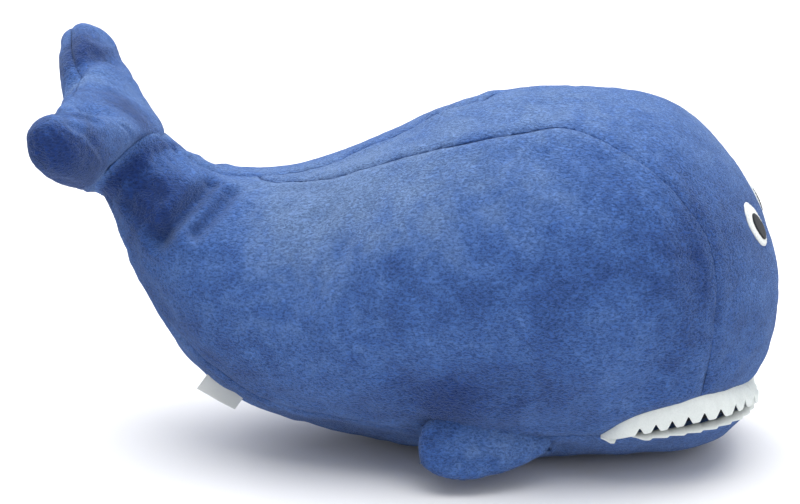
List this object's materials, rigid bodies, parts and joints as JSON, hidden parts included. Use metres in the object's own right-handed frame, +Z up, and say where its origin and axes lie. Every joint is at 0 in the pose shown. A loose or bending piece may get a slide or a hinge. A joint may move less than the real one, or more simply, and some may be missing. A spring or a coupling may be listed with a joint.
{
  "type": "plush whale",
  "caption": "Stuffed plush whale with a curled-up tail and paddle fins; it rests on its belly, and the jaw, edged with felt teeth, the flukes and the fins swing at their seams.",
  "frame": {"origin": "on the flat under the belly that the whale rests on, in its middle plane", "axes": "+X towards the nose, +Z up, +Y towards the whale's left side"},
  "size_m": [0.4418, 0.2144, 0.2346],
  "materials": {
    "plush": "short-pile velvet plush",
    "lining": "short-pile velvet plush, dark",
    "felt": "wool-like felt",
    "satin": "woven satin",
    "fibre": "loose polyester fibre"
  },
  "bodies": {
    "whale_body": {"right_side_panel": "plush", "left_side_panel": "plush", "back_gusset": "plush", "belly_panel": "plush", "palate_lining": "lining", "upper_teeth": "felt", "body_filling": "fibre", "care_label": "satin", "right_eye": "felt", "left_eye": "felt"},
    "jaw": {"jaw_underside_panel": "plush", "jaw_floor_lining": "lining", "jaw_filling": "fibre", "lower_teeth": "felt"},
    "tail_flukes": {"tail_upper_panel": "plush", "tail_lower_panel": "plush", "tail_filling": "fibre"},
    "right_fin": {"right_fin_outer_panel": "plush", "right_fin_inner_panel": "plush", "right_fin_filling": "fibre"},
    "left_fin": {"left_fin_outer_panel": "plush", "left_fin_inner_panel": "plush", "left_fin_filling": "fibre"}
  },
  "joints": [
    {"name": "jaw_hinge", "type": "hinge", "parent": "whale_body", "child": "jaw", "pos_m": [0.0801, 0, 0], "axis": [0, 1, 0], "range_deg": [-0.5, 25], "stiffness_Nm_per_rad": 0.6},
    {"name": "tail_bend", "type": "hinge", "parent": "whale_body", "child": "tail_flukes", "pos_m": [-0.2072, 0, 0.177], "axis": [0, 1, 0], "range_deg": [-20, 20], "stiffness_Nm_per_rad": 1.2},
    {"name": "right_fin_swing", "type": "hinge", "parent": "whale_body", "child": "right_fin", "pos_m": [0.054, -0.0701, 0.028], "axis": [0, 0.5592, 0.829], "range_deg": [0, 70], "stiffness_Nm_per_rad": 0.15},
    {"name": "left_fin_swing", "type": "hinge", "parent": "whale_body", "child": "left_fin", "pos_m": [0.054, 0.0701, 0.028], "axis": [0, 0.5592, -0.829], "range_deg": [0, 70], "stiffness_Nm_per_rad": 0.15}
  ]
}
